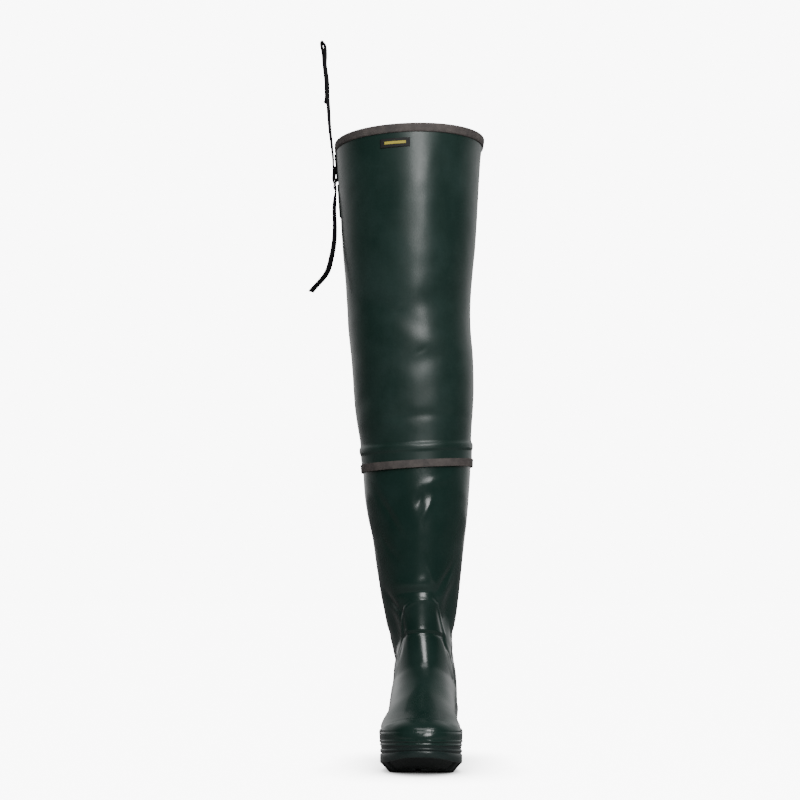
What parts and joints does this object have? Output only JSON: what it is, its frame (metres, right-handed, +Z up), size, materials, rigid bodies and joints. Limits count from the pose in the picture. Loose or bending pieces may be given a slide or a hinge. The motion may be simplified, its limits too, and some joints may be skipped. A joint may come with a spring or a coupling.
{
  "type": "hip wader",
  "caption": "Rubber hip wader for the right leg: moulded boot with a lugged sole, thin thigh shaft, taped joint and rim, and a side strap with a belt loop.",
  "frame": {"origin": "on the ground plane, under the middle of the heel's tread", "axes": "+Z up along the leg, -Y towards the toe, -X towards the outer side of the leg"},
  "size_m": [0.2618, 0.3428, 1.0618],
  "materials": {
    "green_rubber": "glossy moulded rubber, very dark green",
    "sole_rubber": "satin rubber, very dark green",
    "insole_felt": "grey felt",
    "taupe_tape": "taupe binding tape",
    "badge_weave": "black woven badge",
    "black_webbing": "black webbing",
    "black_metal": "black painted wire"
  },
  "bodies": {
    "root": {"outsole": "sole_rubber", "insole": "insole_felt", "upper": "green_rubber", "toe_cap": "green_rubber", "heel_counter": "green_rubber", "vamp": "green_rubber", "ankle_panel": "green_rubber", "thigh_shaft": "green_rubber", "knee_trim": "taupe_tape", "rim_trim": "taupe_tape", "badge": "badge_weave", "anchor_patch": "green_rubber", "anchor_strap": "black_webbing", "buckle": "black_metal", "side_strap": "black_webbing"}
  },
  "joints": []
}
